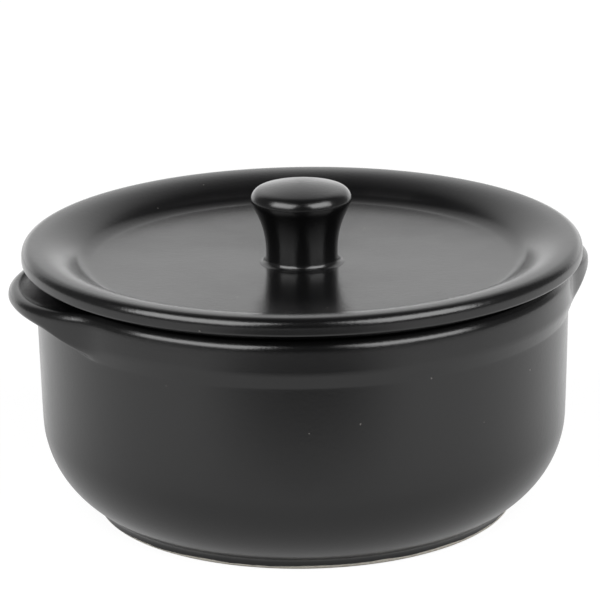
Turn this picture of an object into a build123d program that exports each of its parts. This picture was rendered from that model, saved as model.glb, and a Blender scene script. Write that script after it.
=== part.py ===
"""Round stoneware pot with two lug ears and a lift-off lid with a luted knob.

Millimetres, +Z up. The origin is the middle of the foot ring, on the table.
The ears lie on the X axis, so the pot is longest along X.
"""

import os
from math import asin, atan2, cos, degrees, sin, sqrt, tan

from build123d import *

# Pot, outside: a band stands proud round the rim, and a foot ring carries the rounded wall
rim_height = 80.5
rim_radius = 87.3
rim_round = 4.0
band_height = 10.5
band_proud = 1.2
band_lean = 0.6
band_round = 10.0
step_height = 4.7
step_round = 3.0
wall_lean = 0.7
shoulder_height = 31.0
foot_inset = 17.3
foot_height = 3.0
foot_width = 5.0
foot_round = 0.8

# Pot, inside
wall_thickness = 5.3
floor_thickness = 5.5
floor_round = 23.0
mouth_round = 1.2

# Ears: lugs that the rim band flares out into
ear_reach = 8.6
ear_width = 84.0
ear_sweep = 110.0
ear_lip = 5.4
ear_fall = 8.3
ear_under_round = 1.6
ear_top_drop = 0.8
ear_root_depth = 1.5

# Lid: a plate with a sunk well, a flared rim and a skirt that finds the mouth
lid_overhang = 3.2
lid_rise = 7.9
lid_thickness = 4.7
lip_height = 5.2
lip_round = 3.0
lip_under_round = 1.0
crest_round = 20.3
slope_run = 7.2
well_depth = 8.3
well_round = 3.5
well_inset = 8.4
seat_inset = 2.4
seat_round = 0.6
skirt_clearance = 1.5
skirt_lean = 4.0
skirt_round = 3.0

# Knob: a stem that flares to a domed cap, with a ring of slip at its foot
knob_height = 26.45
knob_radius = 16.3
dome_radius = 50.0
edge_round = 3.4
stem_radius = 11.2
stem_height = 5.1
luting_width = 1.35
luting_height = 0.25
luting_round = 1.1

# How much of a wall its rounded edges may take
rim_round_share = 0.68
mouth_round_share = 0.3
ear_round_share = 0.67

# How much of the lid's crest and slope their roundings may take
crest_share = 0.98
crest_slope_share = 0.85
well_slope_share = 0.148

# Places that the pieces share
band_low = rim_height - band_height
step_low = band_low - step_height
wall_radius = rim_radius - band_proud
shoulder_radius = wall_radius - wall_lean
mouth_radius = wall_radius - wall_thickness
rim_outer = rim_radius - band_lean
rim_wall = rim_outer - mouth_radius
rim_edge = min(rim_round, rim_round_share * rim_wall)
foot_radius = shoulder_radius - foot_inset
floor_height = foot_height + floor_thickness
lid_radius = rim_radius + lid_overhang
crest_height = rim_height + lid_rise
well_height = crest_height - well_depth


def turned(*curves):
    """Turn a closed half section, drawn as radius and height, about the pot's axis."""
    half_section = make_face([edge for curve in curves for edge in curve.edges()])
    return revolve(Plane.XZ * half_section, Axis.Z)


def pot_outside():
    """The pot's outer form, solid up to the rim, with the hollow inside its foot ring."""
    shoulder = (shoulder_radius, shoulder_height)
    foot_top = (foot_radius, foot_height)
    foot_inner = foot_radius - foot_width
    foot = FilletPolyline(
        (0, foot_height),
        (foot_inner, foot_height),
        (foot_inner, 0),
        (foot_radius, 0),
        foot_top,
        radius=foot_round,
    )
    down_the_wall = (-wall_lean, shoulder_height - step_low)
    turn_in = TangentArc(shoulder, foot_top, tangent=down_the_wall)
    side = FilletPolyline(
        shoulder,
        (wall_radius, step_low),
        (rim_radius, band_low),
        (rim_outer, rim_height),
        (0, rim_height),
        (0, foot_height),
        radius=[step_round, band_round, rim_edge, 0],
    )
    return turned(foot, turn_in, side)


def pot_inside():
    """The hollow that holds the food, open at the mouth."""
    hollow = FilletPolyline(
        (0, rim_height),
        (0, floor_height),
        (shoulder_radius - wall_thickness, floor_height),
        (mouth_radius, rim_height),
        (0, rim_height),
        radius=[0, 0, floor_round, 0],
    )
    return turned(hollow)


def bowl(outside):
    """The pot's body: the outer form hollowed out, with the mouth's inner edge eased."""
    body = outside - pot_inside()
    circles = body.edges().filter_by(GeomType.CIRCLE)
    rim_circles = circles.filter_by_position(Axis.Z, rim_height, rim_height)
    mouth = rim_circles.sort_by(SortBy.RADIUS)[0]
    return fillet(mouth, min(mouth_round, mouth_round_share * rim_wall))


def ear_plan():
    """The ear's tip, and where its tip arc joins the hollow sweep, seen from above on +X.

    The sweep runs out tangent to a circle that lies just inside the rim band.
    """
    tip = rim_radius + ear_reach
    end_angle = asin(ear_width / rim_radius / 2)
    sweep_centre = rim_radius - ear_root_depth + ear_sweep
    sweep_x = sweep_centre * cos(end_angle)
    sweep_y = sweep_centre * sin(end_angle)
    past_tip = sweep_x - tip
    tip_round = (past_tip**2 + sweep_y**2 - ear_sweep**2) / (ear_sweep - past_tip) / 2
    tip_centre = tip - tip_round
    join_angle = atan2(sweep_y, sweep_x - tip_centre)
    join_x = tip_centre + tip_round * cos(join_angle)
    join_y = tip_round * sin(join_angle)
    return tip, join_x, join_y, end_angle


def ear_outline():
    """The ear's outline, closed by a chord inside the pot, with the tip and the chord's place."""
    tip, join_x, join_y, end_angle = ear_plan()
    root_radius = rim_radius - ear_root_depth
    end_x = root_radius * cos(end_angle)
    end_y = root_radius * sin(end_angle)
    tip_arc = ThreePointArc((join_x, -join_y), (tip, 0), (join_x, join_y))
    run_out = TangentArc((join_x, join_y), (end_x, end_y), tangent=tip_arc % 1)
    chord = Line((end_x, end_y), (end_x, -end_y))
    outline = make_face([tip_arc, run_out, mirror(run_out, Plane.XZ).edge(), chord])
    return outline, tip, end_x


def ear(outside):
    """A lug on +X: flat on top, with an underside that falls from the tip to the band's lower edge."""
    outline, tip, end_x = ear_outline()
    top = rim_height - ear_top_drop
    tip_low = top - ear_lip
    block = extrude(Pos(0, 0, tip_low - ear_fall) * outline, ear_lip + ear_fall)
    underside = Plane((tip, 0, tip_low), x_dir=(0, 1, 0), z_dir=(-ear_fall, 0, tip - end_x))
    lug = split(block, bisect_by=underside, keep=Keep.TOP)
    low_edges = lug.faces().filter_by(underside)[0].edges()
    lug = fillet(low_edges.filter_by(GeomType.LINE, reverse=True), ear_under_round)
    top_edges = lug.edges().filter_by_position(Axis.Z, top, top)
    top_round = min(rim_edge, ear_round_share * ear_lip)
    lug = fillet(top_edges.filter_by(GeomType.CIRCLE), top_round)
    return lug - outside


def lid_rounds(well_radius):
    """The crest's and the well's roundings, kept within the crest and the slope between them."""
    half_turn = tan(atan2(well_depth, slope_run) / 2)
    slope_length = sqrt(well_depth**2 + slope_run**2)
    crest_run = lid_radius - lip_round - well_radius - slope_run
    crest_room = min(crest_share * crest_run, crest_slope_share * slope_length)
    well_room = well_slope_share * slope_length
    return min(crest_round, crest_room / half_turn), min(well_round, well_room / half_turn)


def lid_plate():
    """The lid: its tapered skirt drops inside the mouth and its flat seat lies on the rim."""
    skirt_radius = mouth_radius - skirt_clearance
    well_radius = skirt_radius - well_inset
    well_under = well_height - lid_thickness
    crest_edge, well_edge = lid_rounds(well_radius)
    corners = [
        ((0, well_height), 0),
        ((0, well_under), 0),
        ((skirt_radius - skirt_lean, well_under), skirt_round),
        ((skirt_radius, rim_height), seat_round),
        ((rim_radius - seat_inset, rim_height), seat_round),
        ((lid_radius, crest_height - lip_height), lip_under_round),
        ((lid_radius, crest_height), lip_round),
        ((well_radius + slope_run, crest_height), crest_edge),
        ((well_radius, well_height), well_edge),
    ]
    points = [point for point, _ in corners]
    rounds = [corner_round for _, corner_round in corners]
    return turned(FilletPolyline(points, radius=rounds, close=True))


def lid_knob():
    """The knob, luted to the middle of the well by its flat foot.

    Its dome, its rounded edge and the hollow flare below are arcs that run into each other.
    """
    top = well_height + knob_height
    stem_top = well_height + stem_height
    luting_top = well_height + luting_height
    luting_radius = stem_radius + luting_width
    dome_centre = top - dome_radius
    edge_centre = knob_radius - edge_round
    edge_height = dome_centre + sqrt((dome_radius - edge_round) ** 2 - edge_centre**2)
    edge_angle = degrees(atan2(edge_height - dome_centre, edge_centre))
    overhang = edge_centre - stem_radius
    flare_rise = edge_height - stem_top
    flare_round = (overhang**2 + flare_rise**2 - edge_round**2) / (overhang + edge_round) / 2
    flare_centre = stem_radius + flare_round
    flare_angle = degrees(atan2(flare_rise, edge_centre - flare_centre))
    flare_turn = 180 - flare_angle
    foot = FilletPolyline(
        (0, top),
        (0, well_height),
        (luting_radius, well_height),
        (luting_radius, luting_top),
        (stem_radius, luting_top),
        (stem_radius, stem_top),
        radius=[0, 0, 0, luting_round],
    )
    flare = CenterArc((flare_centre, stem_top), flare_round, flare_angle, flare_turn)
    edge = CenterArc((edge_centre, edge_height), edge_round, -flare_turn, flare_turn + edge_angle)
    dome = CenterArc((0, dome_centre), dome_radius, edge_angle, 90 - edge_angle)
    return turned(foot, flare, edge, dome)


def main():
    outside = pot_outside()
    right_ear = ear(outside)
    pieces = {
        "bowl": bowl(outside),
        "ear_right": right_ear,
        "ear_left": Rot(0, 0, 180) * right_ear,
        "lid_plate": lid_plate(),
        "lid_knob": lid_knob(),
    }
    os.makedirs("parts", exist_ok=True)
    for name, piece in pieces.items():
        export_step(piece, f"parts/{name}.step")
        print(name, f"{piece.volume / 1000:.1f} cm3", piece.bounding_box().size)


main()
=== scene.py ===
# %% [markdown]
# A round stoneware pot with a loose lid, glazed satin black all over but for the bottom of its foot.
# The frame holds the solid pieces at their real size and place. On the fired pot no seam shows where
# the ears were joined on, because glaze runs over the joint. So the pieces are modelled again here as
# smooth glazed skins, which take their sizes from the frame and stay inside it.

# %% Load the frame
from math import acos, atan2, cos, hypot, pi, radians, sin, sqrt, tan

import bmesh
import bpy
from mathutils import Matrix, Vector


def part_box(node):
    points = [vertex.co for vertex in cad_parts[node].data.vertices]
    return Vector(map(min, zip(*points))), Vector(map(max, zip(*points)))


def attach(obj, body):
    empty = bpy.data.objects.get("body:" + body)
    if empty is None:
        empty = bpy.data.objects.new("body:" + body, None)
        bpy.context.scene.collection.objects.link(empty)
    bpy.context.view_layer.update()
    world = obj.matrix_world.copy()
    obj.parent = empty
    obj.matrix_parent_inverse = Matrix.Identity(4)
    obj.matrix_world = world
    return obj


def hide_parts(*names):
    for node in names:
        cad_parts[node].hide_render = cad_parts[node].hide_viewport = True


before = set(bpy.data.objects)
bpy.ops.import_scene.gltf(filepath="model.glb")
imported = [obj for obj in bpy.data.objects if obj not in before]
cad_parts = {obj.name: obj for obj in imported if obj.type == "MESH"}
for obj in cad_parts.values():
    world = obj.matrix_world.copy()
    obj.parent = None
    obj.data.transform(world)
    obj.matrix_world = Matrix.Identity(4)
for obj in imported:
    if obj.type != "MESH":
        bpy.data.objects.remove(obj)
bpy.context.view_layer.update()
mm = 0.001
print("solid pieces:", sorted(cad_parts))

# %% [markdown]
# The photograph was taken with a long lens from about a metre away, looking down by 17 degrees, with
# the pot turned so that its left ear comes forward. A camera can be placed by eye, but this one's
# distance, tilt and lens were worked out from the pot's outline, so they are written as they are.
# The lens is given in pixels of a 600 pixel frame, and Blender wants it in millimetres of sensor.

# %% Camera
frame_pixels = 600
lens_pixels = 3466
camera_distance = 1125 * mm
camera_tilt = radians(17.04)
camera_roll = radians(-0.85)
pot_turn = radians(16.5)
aim = Vector((-0.85 * mm, 0, 66.96 * mm))

facing = Matrix.Rotation(-pot_turn, 3, "Z")
back_off = Vector((0, -cos(camera_tilt), sin(camera_tilt))) * camera_distance
tilt = Matrix.Rotation(pi / 2 - camera_tilt, 3, "X")
roll = Matrix.Rotation(camera_roll, 3, "Z")
turned = (facing @ tilt @ roll).to_4x4()

bpy.ops.object.select_all(action="DESELECT")
bpy.ops.object.camera_add()
camera = bpy.context.object
camera.name = "camera"
camera.data.lens = camera.data.sensor_width * lens_pixels / frame_pixels
camera.matrix_world = Matrix.Translation(facing @ (aim + back_off)) @ turned
bpy.context.scene.camera = camera
print(f"lens {camera.data.lens:.0f} mm, camera at {camera.location}")

# %% [markdown]
# A turned piece is a section carried round an axis. Blender can spin a drawn section, but a ring that
# is drawn out step by step, as a potter pulls clay, keeps every edge of the section at hand: the
# newest ring is always the selected one, so it can be scaled, moved and marked at once.
#
# Each ring stands at a corner of the section, and the corner is rounded later by a Bevel modifier.
# A bevel is set by how far it starts from the corner, which this works out from the radius wanted:
# a sharp turn needs a longer setback than a slight one.

# %% Rounding a corner of a section
def corner_setback(before, corner, after, radius):
    """How far from a corner its rounding begins, for a rounding of this radius."""
    way_in = atan2(corner[1] - before[1], corner[0] - before[0])
    way_out = atan2(after[1] - corner[1], after[0] - corner[0])
    turn = abs((way_out - way_in + pi) % (2 * pi) - pi)
    return radius * tan(turn / 2)


right_angle = corner_setback((0, 0), (1, 0), (1, 1), 4 * mm)
print(f"a right angle rounded by 4 mm starts {right_angle / mm:.1f} mm from its corner")

# %% [markdown]
# Selecting by place stands in for clicking: it is how the rings are found again later.

# %% Selecting points by their place
def pick(piece, wanted):
    """Select the points whose place is wanted, and nothing else."""
    bpy.ops.mesh.select_all(action="DESELECT")
    mesh = bmesh.from_edit_mesh(piece.data)
    for point in mesh.verts:
        if not point.hide:
            point.select_set(wanted(point.co))
    mesh.select_flush(True)
    bmesh.update_edit_mesh(piece.data)
    return sum(point.select for point in mesh.verts)


# %% [markdown]
# The skin starts as a small circle on the axis, closed to a point, and each further ring is an
# extrusion of the last one, moved up or down and scaled to its radius. The last ring closes again.
# A ring's bevel weight says what share of the widest setback its corner gets.

# %% Drawing a skin out of its rings
def mark_ring(share):
    """Give the selected ring its bevel weight, in place of the one that it was drawn out with."""
    bpy.ops.transform.edge_bevelweight(value=-1)
    bpy.ops.transform.edge_bevelweight(value=share)


def draw_out(name, rings, columns):
    """Draw a closed skin out of its first ring. Each ring is (radius, height, rounding)."""
    setbacks = [0] * len(rings)
    for number in range(1, len(rings) - 1):
        before, corner, after = rings[number - 1:number + 2]
        setbacks[number] = corner_setback(before, corner, after, corner[2])
    widest = max(setbacks)
    first_radius, first_height, _ = rings[0]
    bpy.ops.object.select_all(action="DESELECT")
    bpy.ops.mesh.primitive_circle_add(vertices=columns, radius=first_radius, enter_editmode=True)
    piece = bpy.context.object
    piece.name = name
    bpy.ops.transform.translate(value=(0, 0, first_height))
    bpy.ops.mesh.extrude_edges_move()
    bpy.ops.mesh.merge(type="CENTER")
    pick(piece, lambda place: hypot(place.x, place.y) > first_radius / 2)
    for last, ring, setback in zip(rings, rings[1:], setbacks[1:]):
        growth = ring[0] / last[0]
        rise = ring[1] - last[1]
        bpy.ops.mesh.extrude_edges_move(TRANSFORM_OT_translate={"value": (0, 0, rise)})
        bpy.ops.transform.resize(value=(growth, growth, 1), center_override=(0, 0, 0))
        mark_ring(setback / widest)
    bpy.ops.mesh.extrude_edges_move()
    bpy.ops.mesh.merge(type="CENTER")
    bpy.ops.object.mode_set(mode="OBJECT")
    print(name, "is drawn out of", len(rings), "rings")
    return piece, widest


# %% [markdown]
# A skin is finished in three passes: the marked rings are rounded, one subdivision smooths what is
# left, and the points that met are merged before the faces are turned outwards.

# %% Finishing a skin
def apply(piece, kind, **settings):
    """Add a modifier with its settings and apply it."""
    modifier = piece.modifiers.new(kind.lower(), kind)
    for name, setting in settings.items():
        setattr(modifier, name, setting)
    bpy.ops.object.modifier_apply(modifier=modifier.name)


def finish_skin(piece, widest):
    """Round the marked rings, smooth the skin and face it outwards."""
    apply(piece, "BEVEL", limit_method="WEIGHT", offset_type="OFFSET", width=widest, segments=6,
          use_clamp_overlap=False)
    apply(piece, "SUBSURF", levels=1)
    bpy.ops.object.mode_set(mode="EDIT")
    bpy.ops.mesh.select_all(action="SELECT")
    bpy.ops.mesh.remove_doubles(threshold=mm / 1000)
    bpy.ops.mesh.normals_make_consistent(inside=False)
    bpy.ops.object.mode_set(mode="OBJECT")
    bpy.ops.object.shade_smooth()
    width, depth, height = piece.dimensions / mm
    print(f"{piece.name}: {len(piece.data.polygons)} faces, {width:.1f} x {depth:.1f} x {height:.1f} mm")


# %% [markdown]
# The pot: a foot ring, a belly that turns up into a nearly straight wall, a band that stands a
# little proud under the rim, and the hollow inside. What the frame's boxes tell is read from them,
# and the rest of the section is set here in millimetres.

# %% The pot's sizes
bowl_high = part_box("bowl")[1]
lid_low, lid_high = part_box("lid_plate")
lid_overhang = 3.2 * mm
band_height = 10.5 * mm
band_proud = 1.2 * mm
band_lean = 0.6 * mm
step_height = 4.7 * mm
wall_thickness = 5.3 * mm
wall_lean = 0.7 * mm
shoulder_height = 31 * mm
foot_inset = 17.3 * mm
foot_width = 5 * mm
foot_height = 3 * mm
floor_thickness = 5.5 * mm
print(f"the band is {band_height / mm:.1f} mm high and stands {band_proud / mm:.1f} mm proud")

# %% [markdown]
# Each corner of the section lies some way in from the one before it, so the radii follow from the
# lid's inwards and the heights from the rim's downwards. The mouth gets a second ring a little way
# out on the flat of the rim, which the ears are dished with later.

# %% Where the pot's corners lie
rim_height = bowl_high.z
band_low = rim_height - band_height
step_low = band_low - step_height
floor_height = foot_height + floor_thickness
lip_inset = 1.5 * mm

lid_radius = lid_high.y
band_radius = lid_radius - lid_overhang
rim_radius = band_radius - band_lean
wall_radius = band_radius - band_proud
mouth_radius = wall_radius - wall_thickness
lip_radius = mouth_radius + lip_inset
shoulder_radius = wall_radius - wall_lean
foot_radius = shoulder_radius - foot_inset
foot_inner = foot_radius - foot_width
print(f"rim {2 * rim_radius / mm:.1f} mm across and {rim_height / mm:.1f} mm high")

# %% [markdown]
# The belly is one arc that leaves the wall without a kink and comes down to the foot. Its centre lies
# square to the wall at the shoulder, and as far from the shoulder as it is from the foot, so the rings
# come from the arc itself and not from a list of points.

# %% The belly
def arc_rings(centre_radius, centre_height, arc_radius, start, end, steps):
    """Rings along an arc of a section, after its first point."""
    for step in range(1, steps + 1):
        angle = start + (end - start) * step / steps
        yield centre_radius + arc_radius * cos(angle), centre_height + arc_radius * sin(angle), 0


def belly_rings():
    """Rings from the foot up to the shoulder."""
    lean = atan2(wall_radius - shoulder_radius, step_low - shoulder_height)
    run = foot_radius - shoulder_radius
    fall = foot_height - shoulder_height
    arc_radius = (run**2 + fall**2) / 2 / (fall * sin(lean) - run * cos(lean))
    centre_radius = shoulder_radius - arc_radius * cos(lean)
    centre_height = shoulder_height + arc_radius * sin(lean)
    low = atan2(foot_height - centre_height, foot_radius - centre_radius)
    return arc_rings(centre_radius, centre_height, arc_radius, low, -lean, steps=10)


print(f"the belly rises from {foot_radius / mm:.1f} to {shoulder_radius / mm:.1f} mm of radius")

# %% [markdown]
# The rings run from the middle of the underside out over the foot, up the outside, over the rim and
# down to the middle of the floor inside. Next to the axis they stop at a small pole ring, because a
# ring of no width couldn't be scaled.

# %% The pot's skin
pole_radius = 1.2 * mm
foot_round = 0.8 * mm
step_round = 3 * mm
band_round = 7 * mm
rim_round = 4 * mm
mouth_round = 1.2 * mm
floor_round = 23 * mm

pot_rings = [
    (pole_radius, foot_height, 0),
    (foot_inner, foot_height, foot_round),
    (foot_inner, 0, foot_round),
    (foot_radius, 0, foot_round),
    (foot_radius, foot_height, 0),
    *belly_rings(),
    (wall_radius, step_low, step_round),
    (band_radius, band_low, band_round),
    (rim_radius, rim_height, rim_round),
    (lip_radius, rim_height, 0),
    (mouth_radius, rim_height, mouth_round),
    (shoulder_radius - wall_thickness, floor_height, floor_round),
    (pole_radius, floor_height, 0),
]
pot, pot_widest = draw_out("pot_glazed", pot_rings, columns=128)

# %% [markdown]
# The two ears are lugs that the rim band flares out into, a little dished on top and undercut, so that
# fingers find a hold. They could be separate solids set against the wall, but then a crease would show
# where each one starts. Pulling the band's own rings with proportional editing does what a thumb does
# to soft clay: the middle moves all the way and the clay beside it follows less and less. Rings that
# must stay put are hidden first, because proportional editing leaves hidden points alone. A ring is
# found by its radius and height, with some reach for one that has been pushed down already.

# %% Pulling a ring out of the band
thumb = 5 * mm
ring_reach = 2.4 * mm


def pull_ring(piece, radius, height, side, out, up, along, spread, falloff):
    """Pull a ring out and up, some way along it from an ear's middle, with the clay beside."""
    def on_ring(place):
        return abs(place.z - height) < ring_reach and abs(hypot(place.x, place.y) - radius) < mm

    pick(piece, on_ring)
    bpy.ops.mesh.hide(unselected=True)
    moved = pick(piece, lambda place: side * place.x > 0 and abs(abs(place.y) - along) < thumb)
    bpy.ops.transform.translate(
        value=(side * out, 0, up),
        use_proportional_edit=True,
        proportional_edit_falloff=falloff,
        proportional_size=spread,
    )
    bpy.ops.mesh.reveal(select=False)
    return moved


# %% [markdown]
# The rim ring goes out level, and the ring inside it follows lower, so that the ear keeps a rounded
# lip about as thick as the wall. The ring at the band's lower edge goes out as far and also up, and
# the ring below it only up, which together leave the slanting underside. Where an ear runs out, its
# lower edge dips a little below the band's, so the band's ring is pushed down there before it is
# pulled. No two ears pulled by hand are the same, and the right one is a little narrower.

# %% The ears
ear_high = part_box("ear_right")[1]
ear_lip = 5.4 * mm
ear_fall = 4.2 * mm
ear_dish = 2.4 * mm
run_out_dip = 2.2 * mm
left_ear = {"along": 0, "spread": 31.5 * mm, "falloff": "INVERSE_SQUARE"}
right_ear = {"along": 0, "spread": 28 * mm, "falloff": "INVERSE_SQUARE"}
run_out = {"along": 32 * mm, "spread": 11 * mm, "falloff": "SMOOTH"}

tip = ear_high.x
tip_low = ear_high.z - ear_lip
root_low = tip_low - ear_fall

bpy.ops.object.mode_set(mode="EDIT")
for side, ear in ((-1, left_ear), (1, right_ear)):
    pull_ring(pot, rim_radius, rim_height, side, tip - rim_radius, ear_high.z - rim_height, **ear)
    pull_ring(pot, lip_radius, rim_height, side, tip - ear_lip - lip_radius, -ear_dish, **ear)
    pull_ring(pot, band_radius, band_low, side, 0, -run_out_dip, **run_out)
    pull_ring(pot, band_radius, band_low, side, tip - band_radius, tip_low - band_low, **ear)
    moved = pull_ring(pot, wall_radius, step_low, side, 0, root_low - step_low, **ear)
bpy.ops.object.mode_set(mode="OBJECT")
print(f"{moved} points lead each ear out to {tip / mm:.1f} mm")
finish_skin(pot, pot_widest)

# %% [markdown]
# The lid is a plate with a sunk well and a thick rim that flares out past the pot. From the lip its
# top falls into the well in one long round. Underneath, a tapered skirt drops inside the mouth and a
# narrow flat seat lies on the rim. The knob stands on the well, so its box tells how high that is.

# %% The lid's sizes
crest_height = lid_high.z
well_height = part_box("lid_knob")[0].z
skirt_clearance = 1.5 * mm
skirt_lean = 4 * mm
skirt_round = 3 * mm
seat_inset = 2.4 * mm
seat_round = 0.6 * mm
lip_height = 5.2 * mm
lip_under_round = 1 * mm
lip_round = 3 * mm
crest_round = 17.2 * mm
slope_run = 7.2 * mm
well_inset = 8.4 * mm
well_round = 7 * mm
skirt_radius = mouth_radius - skirt_clearance
well_radius = skirt_radius - well_inset
well_depth = crest_height - well_height
print(f"the well is {well_depth / mm:.1f} mm deep and {2 * well_radius / mm:.0f} mm across")

# %% [markdown]
# The well sags a little to its middle, as fired plates do, along an arc of a very large circle. The
# lid is drawn out like the pot, from the middle of the underside round the lip to the middle of the
# well.

# %% The lid's skin
well_dish = 0.8 * mm
dish_radius = (well_radius**2 + well_dish**2) / 2 / well_dish
dish_centre = well_height + dish_radius
dish_edge = atan2(well_height + well_dish - dish_centre, well_radius)
dish_middle = -acos(pole_radius / dish_radius)

lid_rings = [
    (pole_radius, lid_low.z, 0),
    (skirt_radius - skirt_lean, lid_low.z, skirt_round),
    (skirt_radius, rim_height, seat_round),
    (band_radius - seat_inset, rim_height, seat_round),
    (lid_radius, crest_height - lip_height, lip_under_round),
    (lid_radius, crest_height, lip_round),
    (well_radius + slope_run, crest_height, crest_round),
    (well_radius, well_height + well_dish, well_round),
    *arc_rings(0, dish_centre, dish_radius, dish_edge, dish_middle, steps=6),
]
lid, lid_widest = draw_out("lid_glazed", lid_rings, columns=128)
finish_skin(lid, lid_widest)

# %% [markdown]
# The knob was turned by itself and set on the lid with slip, which squeezed out as a thin ring round
# its foot. Its stem flares out in a hollow curve for two fingers to pull on, and its cap is a shallow
# dome with a soft edge. Flare, edge and dome are arcs that run into each other, so the edge's centre
# lies on the lines from the other two centres to the points where the arcs meet. The radii of stem,
# edge and dome are set, and the flare's follows from them.

# %% The knob's arcs
knob_low, knob_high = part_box("lid_knob")
stem_radius = 11.6 * mm
stem_height = 4.1 * mm
dome_radius = 50 * mm
edge_round = 3.8 * mm
stem_top = knob_low.z + stem_height
dome_centre = knob_high.z - dome_radius
edge_radius = knob_high.y - edge_round
edge_height = dome_centre + sqrt((dome_radius - edge_round) ** 2 - edge_radius**2)
overhang = edge_radius - stem_radius
flare_rise = edge_height - stem_top
flare_round = (overhang**2 + flare_rise**2 - edge_round**2) / (overhang + edge_round) / 2
flare_radius = stem_radius + flare_round
print(f"the stem flares out in an arc of {flare_round / mm:.1f} mm")

# %% [markdown]
# The arcs' angles are those of the lines between their centres. The slip ring's outer edge is left to
# the subdivision, and only the corner where it meets the stem is rounded.

# %% The knob's skin
slip_width = 2.1 * mm
slip_thickness = 0.1 * mm
slip_round = 2 * mm
slip_radius = stem_radius + slip_width
slip_height = knob_low.z + slip_thickness
flare_end = atan2(flare_rise, edge_radius - flare_radius)
edge_end = atan2(edge_height - dome_centre, edge_radius)
dome_end = acos(pole_radius / dome_radius)

knob_rings = [
    (pole_radius, knob_low.z, 0),
    (slip_radius, knob_low.z, 0),
    (slip_radius, slip_height, 0),
    (stem_radius, slip_height, slip_round),
    (stem_radius, stem_top, 0),
    *arc_rings(flare_radius, stem_top, flare_round, pi, flare_end, steps=8),
    *arc_rings(edge_radius, edge_height, edge_round, flare_end - pi, edge_end, steps=8),
    *arc_rings(0, dome_centre, dome_radius, edge_end, dome_end, steps=6),
]
knob, knob_widest = draw_out("knob_glazed", knob_rings, columns=64)
finish_skin(knob, knob_widest)

# %% [markdown]
# Materials are made of nodes. These helpers make one node each, with its settings and the constant
# values of its sockets, so that a material reads as a list of what it does.

# %% Making nodes
def new_node(tree, kind, sockets=(), **settings):
    """A new shader node. Sockets are set by name or number, settings by name."""
    node = tree.nodes.new("ShaderNode" + kind)
    for name, setting in settings.items():
        setattr(node, name, setting)
    for socket, value in dict(sockets).items():
        node.inputs[socket].default_value = value
    return node


def maths(tree, operation, first, second):
    """Add, multiply or otherwise join two values."""
    node = new_node(tree, "Math", operation=operation)
    tree.links.new(first, node.inputs[0])
    tree.links.new(second, node.inputs[1])
    return node.outputs["Value"]


def vector_maths(tree, operation, first, second=(0, 0, 0)):
    """Join a vector with a constant one. What comes out is a Value or a Vector, by operation."""
    node = new_node(tree, "VectorMath", {1: second}, operation=operation)
    tree.links.new(first, node.inputs[0])
    return node.outputs


def ramp(tree, source, span, result, smooth=True):
    """Carry a value from one range, the span, into another, the result."""
    sockets = {"From Min": span[0], "From Max": span[1], "To Min": result[0], "To Max": result[1]}
    curve = "SMOOTHSTEP" if smooth else "LINEAR"
    node = new_node(tree, "MapRange", sockets, interpolation_type=curve)
    tree.links.new(source, node.inputs["Value"])
    return node.outputs["Result"]


# %% [markdown]
# A finish is never one flat colour. These three carry a pattern: a texture read at a place on the
# piece, a colour that goes over into another, and a fine roughness that tilts the surface a little.

# %% Making patterns
bump_depth = 0.1 * mm


def texture(tree, kind, place, sockets):
    """A texture that is read at this place."""
    node = new_node(tree, "Tex" + kind, sockets)
    tree.links.new(place, node.inputs["Vector"])
    return node.outputs


def mix_colours(tree, share, first, second):
    """The first colour, going over to the second as the share goes from 0 to 1."""
    first_socket, second_socket, colour_result = 6, 7, 2
    node = new_node(tree, "Mix", {first_socket: first, second_socket: second}, data_type="RGBA")
    tree.links.new(share, node.inputs["Factor"])
    return node.outputs[colour_result]


def bump_surface(tree, shader, height, strength):
    """Tilt a shader's surface by the slopes of a pattern."""
    bump = new_node(tree, "Bump", {"Strength": strength, "Distance": bump_depth})
    tree.links.new(height, bump.inputs["Height"])
    tree.links.new(bump.outputs["Normal"], shader.inputs["Normal"])


# %% [markdown]
# On the fired glaze a few pinholes and grains of dust show as tiny pale specks. They could be painted
# by hand, but a Voronoi texture scatters them for nothing: it parts the piece into small cells, each
# with a middle, where a grain may lie, and a colour by chance, which says whether one does.

# %% Specks in the glaze
grain_span = (0.05, 0.09)
rare_span = (0.93, 0.95)


def speck_share(tree, place):
    """1 on a grain of dust and 0 beside it."""
    cells = texture(tree, "Voronoi", place, {"Scale": 260})
    grain = ramp(tree, cells["Distance"], grain_span, (1, 0))
    chance = new_node(tree, "SeparateColor")
    tree.links.new(cells["Color"], chance.inputs["Color"])
    rare = ramp(tree, chance.outputs["Red"], rare_span, (0, 1))
    return maths(tree, "MULTIPLY", grain, rare)


print(f"of a hundred cells, about {100 * (1 - rare_span[1]):.0f} hold a grain")

# %% [markdown]
# The glaze is a thin black glass with a satin surface. Glass on clay reflects about four percent
# straight on and far more at a glancing angle, which the Principled shader works out from the index
# of refraction, so the colour can stay nearly black. Under the glaze lie the fine grooves of turning,
# which run round the axis and blur a mirror image more across them than along them. That is what
# Anisotropic does, with a Radial tangent for the turning. A fired satin glaze is never quite even: its
# gloss drifts in soft patches where it lay thicker, and it has a faint orange-peel texture.

# %% Black glaze
black = (0.003, 0.003, 0.0032, 1)
dust = (0.16, 0.15, 0.14, 1)
glass_index = 1.5
groove_blur = 0.5
across_grooves = 0.25
patch_span = (0.3, 0.7)
satin_roughness = (0.21, 0.25)
peel_strength = 0.35


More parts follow.
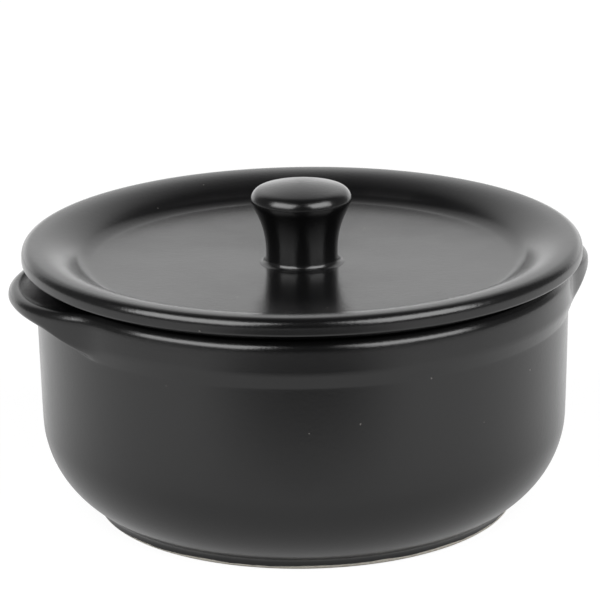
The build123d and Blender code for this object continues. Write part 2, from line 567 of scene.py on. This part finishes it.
def glaze_shader(tree, place):
    """The satin black glaze, with its patches, peel and specks."""
    shader = tree.nodes["Principled BSDF"]
    shader.inputs["IOR"].default_value = glass_index
    shader.inputs["Anisotropic"].default_value = groove_blur
    shader.inputs["Anisotropic Rotation"].default_value = across_grooves
    turning = new_node(tree, "Tangent", direction_type="RADIAL", axis="Z")
    tree.links.new(turning.outputs["Tangent"], shader.inputs["Tangent"])
    patches = texture(tree, "Noise", place, {"Scale": 45, "Detail": 4, "Roughness": 0.6})
    gloss = ramp(tree, patches["Fac"], patch_span, satin_roughness)
    tree.links.new(gloss, shader.inputs["Roughness"])
    peel = texture(tree, "Noise", place, {"Scale": 1000, "Detail": 3})
    bump_surface(tree, shader, peel["Fac"], peel_strength)
    colour = mix_colours(tree, speck_share(tree, place), black, dust)
    tree.links.new(colour, shader.inputs["Base Color"])
    return shader


straight_on = ((glass_index - 1) / (glass_index + 1)) ** 2
print(f"straight on, the glaze mirrors {100 * straight_on:.0f} percent")

# %% [markdown]
# Glaze would melt the pot to the kiln shelf, so the potter wipes it off the bottom of the foot, and
# the fired clay shows there. It is pale, dry and sandy, so it is rough, mottled and a little uneven.

# %% Bare clay
pale_clay = (0.86, 0.82, 0.73, 1)
dark_clay = (0.7, 0.65, 0.55, 1)
mottle_span = (0.35, 0.7)
clay_roughness = 0.85
sand_strength = 0.4


def clay_shader(tree, place):
    """Fired clay: pale, rough and finely mottled."""
    mottle = texture(tree, "Noise", place, {"Scale": 900, "Detail": 5, "Roughness": 0.7})
    shader = new_node(tree, "BsdfPrincipled", {"Roughness": clay_roughness})
    spread = ramp(tree, mottle["Fac"], mottle_span, (0, 1))
    tree.links.new(mix_colours(tree, spread, pale_clay, dark_clay), shader.inputs["Base Color"])
    bump_surface(tree, shader, mottle["Fac"], sand_strength)
    return shader


# %% [markdown]
# The clay shows as a thin line with a wavy edge, leaning a little higher towards the front right, as the
# camera sees the pot.
# Height, that lean and some noise are added up, and where the sum is low the clay shows.

# %% The glaze's lower edge
clay_line = 0.6 * mm
clay_blur = 0.15 * mm
clay_lean = facing @ Vector((0.003, -0.006, 0))
clay_wave = 1.4 * mm


def glaze_edge(tree, place):
    """How much glaze there is: 0 on the wiped foot and 1 above it."""
    wave = texture(tree, "Noise", place, {"Scale": 70, "Detail": 3})
    upright = Vector((0, 0, 1)) - clay_lean
    height = vector_maths(tree, "DOT_PRODUCT", place, upright)["Value"]
    wavy = ramp(tree, wave["Fac"], (0, 1), (-clay_wave / 2, clay_wave / 2), smooth=False)
    edge = maths(tree, "ADD", height, wavy)
    return ramp(tree, edge, (clay_line, clay_line + clay_blur), (0, 1))


lean_across = 2 * foot_radius * clay_lean.length
print(f"from one side of the foot to the other the clay line rises {lean_across / mm:.1f} mm")

# %% [markdown]
# One material serves all three skins, because the lid and the knob lie far above the clay line.
# Object coordinates hold the pattern to each piece, so that it stays put when the lid is lifted.

# %% The glazed clay
def glazed_clay():
    """Black glaze over pale clay."""
    material = bpy.data.materials.new("black_glaze")
    material.use_nodes = True
    tree = material.node_tree
    place = new_node(tree, "TexCoord").outputs["Object"]
    cover = new_node(tree, "MixShader")
    tree.links.new(glaze_edge(tree, place), cover.inputs["Fac"])
    tree.links.new(clay_shader(tree, place).outputs["BSDF"], cover.inputs[1])
    tree.links.new(glaze_shader(tree, place).outputs["BSDF"], cover.inputs[2])
    tree.links.new(cover.outputs["Shader"], tree.nodes["Material Output"].inputs["Surface"])
    return material


glaze = glazed_clay()
for piece in (pot, lid, knob):
    piece.data.materials.clear()
    piece.data.materials.append(glaze)
print("glazed:", [piece.name for piece in (pot, lid, knob)])

# %% [markdown]
# Each skin stands for the solid pieces that it covers, and moves with their body: the pot stands
# still, and the knob goes up with the lid.

# %% Riding on the bodies
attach(pot, "pot")
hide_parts("bowl", "ear_left", "ear_right")
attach(lid, "lid")
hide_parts("lid_plate")
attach(knob, "lid")
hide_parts("lid_knob")
print("the lid carries", [piece.name for piece in (lid, knob)])

# %% [markdown]
# A black glossy pot is lit by what it mirrors. In the studio it stands on a white sheet that runs up
# behind it, between two softboxes, with a dark room round the camera. The floor is plain and pale. In
# the pot's mirror image it is white too, but for the dark room that shows beyond its front, and for
# the pot's own shade close by. Both are painted by how far a place lies from a point on the floor.

# %% What mirrors see of the floor
mirror_glow = 0.95
shaded_share = 0.6
dark_front = facing @ Vector((0, -0.42, 0))
dark_span = (0.12, 0.3)
shade_span = (0.07, 0.2)


def mirrored_floor(tree, place, from_pot):
    """How bright the floor is in a mirror image."""
    from_dark = vector_maths(tree, "DISTANCE", place, dark_front)["Value"]
    far_off = ramp(tree, from_dark, dark_span, (0, mirror_glow))
    clear = ramp(tree, from_pot, shade_span, (shaded_share, 1))
    return maths(tree, "MULTIPLY", far_off, clear)


print(f"the dark in front is centred {dark_front.length:.2f} m from the pot's middle")

# %% [markdown]
# The floor's own glow makes it white to the camera, while its matte part still takes the pot's shadow.
# Far off the glow grows, until the floor's end can't be told from the backdrop. More light would make
# the floor white as well, but it would wash out the pot.

# %% The floor's white
floor_glow = 0.9
floor_matte = (0.2, 0.2, 0.2, 1)
fade_span = (0.3, 1)


def white_floor():
    """A white sheet that glows to the camera and to mirrors."""
    material = bpy.data.materials.new("white_floor")
    material.use_nodes = True
    tree = material.node_tree
    tree.nodes.remove(tree.nodes["Principled BSDF"])
    rays = new_node(tree, "LightPath").outputs
    place = new_node(tree, "TexCoord").outputs["Object"]
    from_pot = vector_maths(tree, "LENGTH", place)["Value"]
    seen = ramp(tree, from_pot, fade_span, (floor_glow, 1))
    to_camera = maths(tree, "MULTIPLY", rays["Is Camera Ray"], seen)
    to_mirrors = maths(tree, "MULTIPLY", rays["Is Glossy Ray"], mirrored_floor(tree, place, from_pot))
    glow = new_node(tree, "Emission")
    tree.links.new(maths(tree, "ADD", to_camera, to_mirrors), glow.inputs["Strength"])
    matte = new_node(tree, "BsdfDiffuse", {"Color": floor_matte})
    both = new_node(tree, "AddShader")
    tree.links.new(matte.outputs["BSDF"], both.inputs[0])
    tree.links.new(glow.outputs["Emission"], both.inputs[1])
    tree.links.new(both.outputs["Shader"], tree.nodes["Material Output"].inputs["Surface"])
    return material


# %% [markdown]
# The floor itself is a plain sheet. It is part of the stage, and not of the object.

# %% Floor
floor_size = 2.4

bpy.ops.object.select_all(action="DESELECT")
bpy.ops.mesh.primitive_plane_add(size=floor_size)
floor = bpy.context.object
floor.name = "floor"
floor.data.materials.append(white_floor())
print("floor laid,", floor.dimensions.x, "m across")

# %% [markdown]
# Above the floor the same sheet goes on as the world. A sheet could be modelled and bent up behind the
# pot, but it would stand in the way of a camera on that side. The world is painted by the way that a
# ray goes. Its bearing, level with the floor, tells the back of the studio from the camera's side,
# and its rise tells low from overhead.

# %% Which way a ray goes
def ray_ways(tree):
    """How far a ray goes to the back of the studio, from -1 to 1, and how far it goes up."""
    way = new_node(tree, "TexCoord").outputs["Generated"]
    level = vector_maths(tree, "MULTIPLY", way, (1, 1, 0))["Vector"]
    bearing = vector_maths(tree, "NORMALIZE", level)["Vector"]
    back = vector_maths(tree, "DOT_PRODUCT", bearing, facing @ Vector((0, 1, 0)))["Value"]
    rise = new_node(tree, "SeparateXYZ")
    tree.links.new(way, rise.inputs["Vector"])
    return back, rise.outputs["Z"]


# %% [markdown]
# In the gloss the studio is white straight behind the pot, whitest low down, dim at the sides, and
# dark overhead and all round the camera's side. The angles are turned into the cosines and sines that
# a ray's way is measured in.

# %% What mirrors see of the studio
backdrop_white = 1.1
room_side = 0.2
room_dark = 0.04
horizon_share = 1.35
overhead_share = 0.1
backdrop_span = cos(radians(55)), cos(radians(30))
side_span = cos(radians(140)), cos(radians(100))
horizon_span = sin(radians(3)), sin(radians(18))
overhead_span = sin(radians(26)), 1


def mirrored_studio(tree):
    """How bright the studio is in a mirror image."""
    back, rise = ray_ways(tree)
    beside = ramp(tree, back, side_span, (room_dark, room_side))
    behind = ramp(tree, back, backdrop_span, (0, backdrop_white - room_side))
    low_down = ramp(tree, rise, horizon_span, (horizon_share, 1))
    overhead = ramp(tree, rise, overhead_span, (1, overhead_share))
    around = maths(tree, "ADD", beside, behind)
    return maths(tree, "MULTIPLY", around, maths(tree, "MULTIPLY", low_down, overhead))


print(f"the backdrop's foot shines at {backdrop_white * horizon_share:.2f}")

# %% [markdown]
# Only mirror rays see that studio. Diffuse rays get an even dim room, and the camera sees plain white.

# %% World
room_fill = 0.1
white = (1, 1, 1, 1)

world = bpy.data.worlds.new("studio")
bpy.context.scene.world = world
world.use_nodes = True
world.cycles.sampling_method = "NONE"
tree = world.node_tree
rays = new_node(tree, "LightPath").outputs
lit = new_node(tree, "Mix", {"A": room_fill})
tree.links.new(rays["Is Glossy Ray"], lit.inputs["Factor"])
tree.links.new(mirrored_studio(tree), lit.inputs["B"])
seen = maths(tree, "MAXIMUM", lit.outputs["Result"], rays["Is Camera Ray"])
background = tree.nodes["Background"]
background.inputs["Color"].default_value = white
tree.links.new(seen, background.inputs["Strength"])
print("world:", len(tree.nodes), "nodes")

# %% [markdown]
# Two softboxes stand left and right in front of the pot and well above it, and each is drawn out by
# the lip, the rim and the knob into a long highlight. A studio lamp's face is many times brighter than
# a white sheet. Lamps that bright would bleach every pale colour, so each softbox is a pair of lamps:
# one that lights surfaces at a plain level, and one that is only seen in the gloss. They stand a
# little apart, because lamps in one place hide each other in the gloss.

# %% Softboxes
lamp_distance = 1.2
lamp_gap = 10 * mm
lamp_up = radians(39.5)
lamp_height = 0.78
lamp_power = 11
lamp_face = 6.8
left_lamp = {"azimuth": radians(-48), "width": 1.05}
right_lamp = {"azimuth": radians(50), "width": 0.95}


def softbox(name, distance, power, azimuth, width):
    """A flat lamp that faces the pot. Azimuth is measured from the camera's side."""
    way = Vector((sin(azimuth) * cos(lamp_up), -cos(azimuth) * cos(lamp_up), sin(lamp_up)))
    place = facing @ way * distance
    bpy.ops.object.select_all(action="DESELECT")
    bpy.ops.object.light_add(type="AREA", location=place)
    lamp = bpy.context.object
    lamp.name = name
    lamp.data.shape = "RECTANGLE"
    lamp.data.size = width
    lamp.data.size_y = lamp_height
    lamp.data.energy = power
    lamp.rotation_euler = (-place).to_track_quat("-Z", "Y").to_euler()
    return lamp


for hand, lamp in (("left", left_lamp), ("right", right_lamp)):
    face_power = lamp_face * pi * lamp["width"] * lamp_height
    softbox(f"shine_{hand}", lamp_distance, face_power, **lamp).visible_diffuse = False
    softbox(f"light_{hand}", lamp_distance + lamp_gap, lamp_power, **lamp).visible_glossy = False

# %% [markdown]
# Last, the picture's settings.

# %% Finish
bpy.context.scene.view_settings.view_transform = "Standard"
